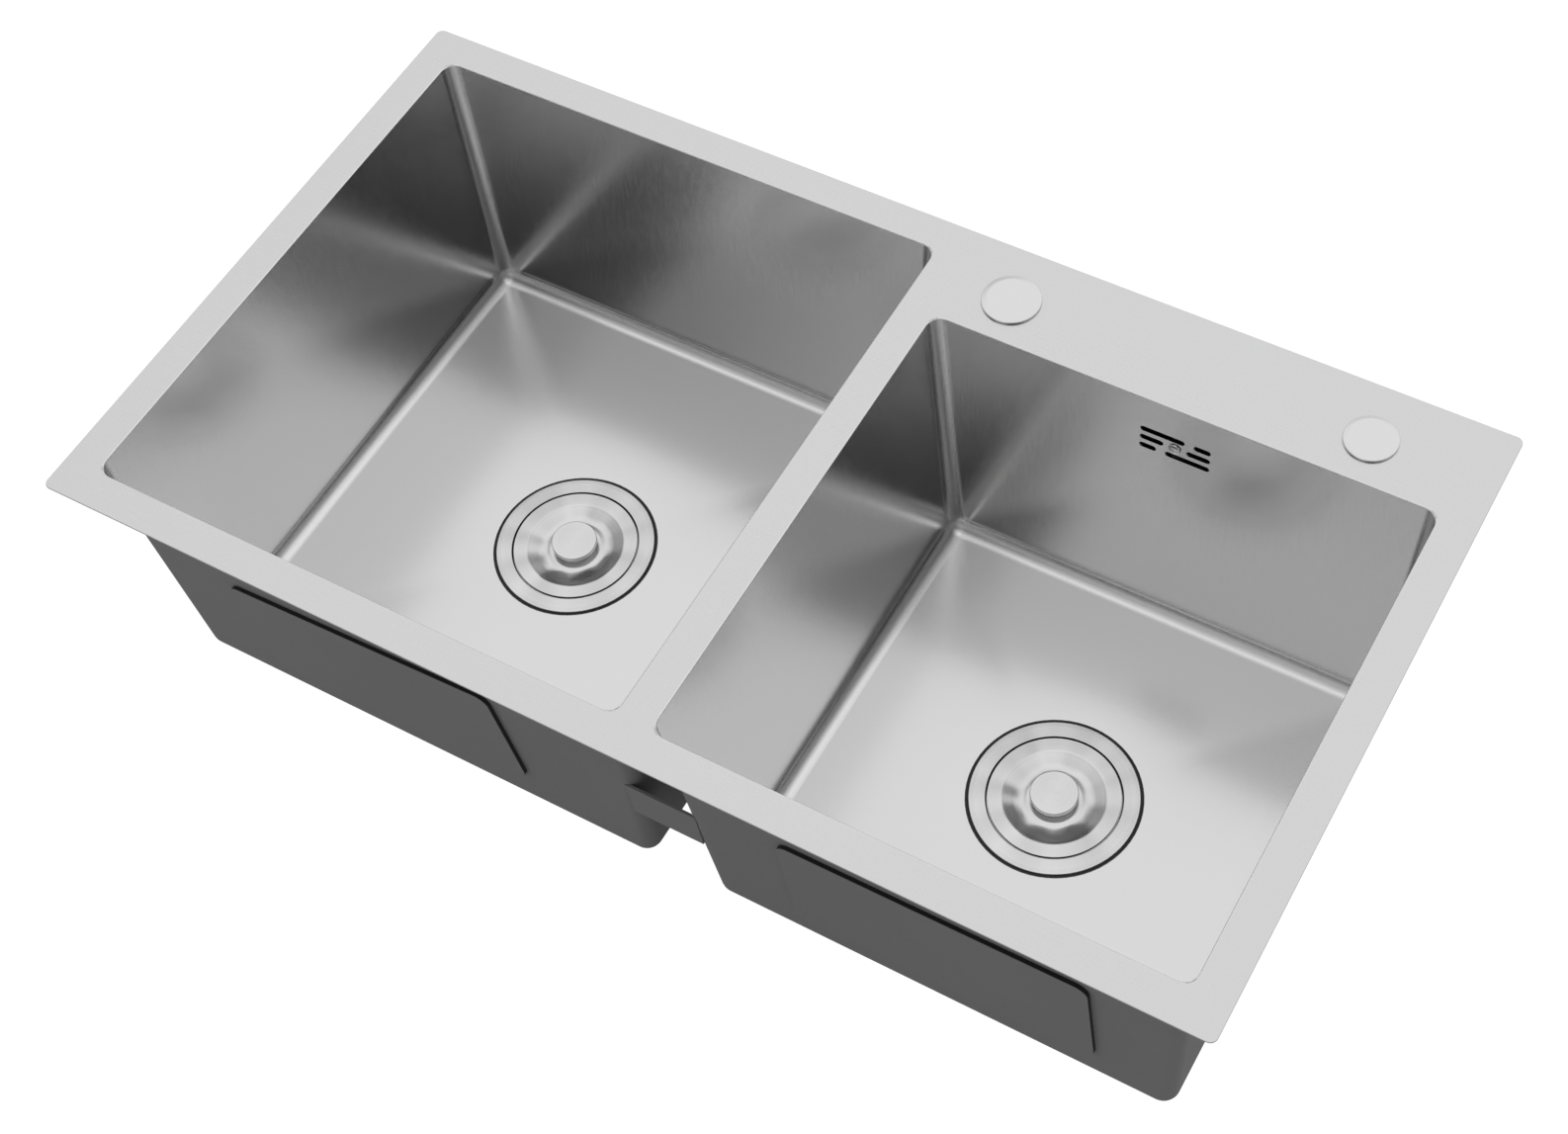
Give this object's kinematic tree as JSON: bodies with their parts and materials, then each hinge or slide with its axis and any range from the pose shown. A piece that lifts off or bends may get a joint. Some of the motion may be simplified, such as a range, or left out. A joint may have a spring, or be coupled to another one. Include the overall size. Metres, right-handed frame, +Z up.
{
  "type": "double bowl kitchen sink",
  "caption": "Drop-in stainless steel sink with a flat rim, a larger and a smaller square bowl, basket strainers with lids, an overflow and covered tap holes",
  "frame": {"origin": "middle of the rim in plan, on the rim's underside, which is the plane of the worktop's face", "axes": "+X to the right as seen by the person at the sink, +Y to the tap ledge at the back, +Z up"},
  "size_m": [0.82, 0.45, 0.2972],
  "materials": {
    "rim_steel": "satin",
    "bowl_steel": "satin brushed inside, matt grey coating outside",
    "grey_coat": "matt sprayed coating",
    "strainer_steel": "turned satin",
    "cover_steel": "satin",
    "black_rubber": "matt",
    "black_plastic": "matt",
    "grey_plastic": "matt"
  },
  "bodies": {
    "sink": {"deck_plate": "rim_steel", "left_bowl": "bowl_steel", "right_bowl": "bowl_steel", "front_brace": "grey_coat", "left_front_pad": "grey_coat", "right_front_pad": "grey_coat", "left_base_pad": "grey_coat", "right_base_pad": "grey_coat", "left_strainer_body": "strainer_steel", "left_flange_gasket": "black_rubber", "left_floor_washer": "black_rubber", "left_slip_ring": "grey_plastic", "left_lock_nut": "grey_plastic", "right_strainer_body": "strainer_steel", "right_flange_gasket": "black_rubber", "right_floor_washer": "black_rubber", "right_slip_ring": "grey_plastic", "right_lock_nut": "grey_plastic", "overflow_housing": "black_plastic", "overflow_seal": "black_rubber", "overflow_screw": "strainer_steel"},
    "left_strainer_basket": {"left_basket": "strainer_steel", "left_stopper": "black_rubber"},
    "left_strainer_lid": {"left_lid": "strainer_steel", "left_knob": "strainer_steel", "left_knob_screw": "strainer_steel"},
    "right_strainer_basket": {"right_basket": "strainer_steel", "right_stopper": "black_rubber"},
    "right_strainer_lid": {"right_lid": "strainer_steel", "right_knob": "strainer_steel", "right_knob_screw": "strainer_steel"},
    "tap_cover": {"tap_hole_cover": "cover_steel", "tap_hole_plug": "black_plastic"},
    "dispenser_cover": {"dispenser_hole_cover": "cover_steel", "dispenser_hole_plug": "black_plastic"}
  },
  "joints": [
    {"name": "left_basket_lift", "type": "slide", "parent": "sink", "child": "left_strainer_basket", "axis": [0, 0, 1], "range_m": [0, 0.28]},
    {"name": "left_lid_lift", "type": "slide", "parent": "left_strainer_basket", "child": "left_strainer_lid", "axis": [0, 0, 1], "range_m": [0, 0.25]},
    {"name": "right_basket_lift", "type": "slide", "parent": "sink", "child": "right_strainer_basket", "axis": [0, 0, 1], "range_m": [0, 0.28]},
    {"name": "right_lid_lift", "type": "slide", "parent": "right_strainer_basket", "child": "right_strainer_lid", "axis": [0, 0, 1], "range_m": [0, 0.25]},
    {"name": "tap_cover_lift", "type": "slide", "parent": "sink", "child": "tap_cover", "axis": [0, 0, 1], "range_m": [0, 0.05]},
    {"name": "dispenser_cover_lift", "type": "slide", "parent": "sink", "child": "dispenser_cover", "axis": [0, 0, 1], "range_m": [0, 0.05]}
  ]
}
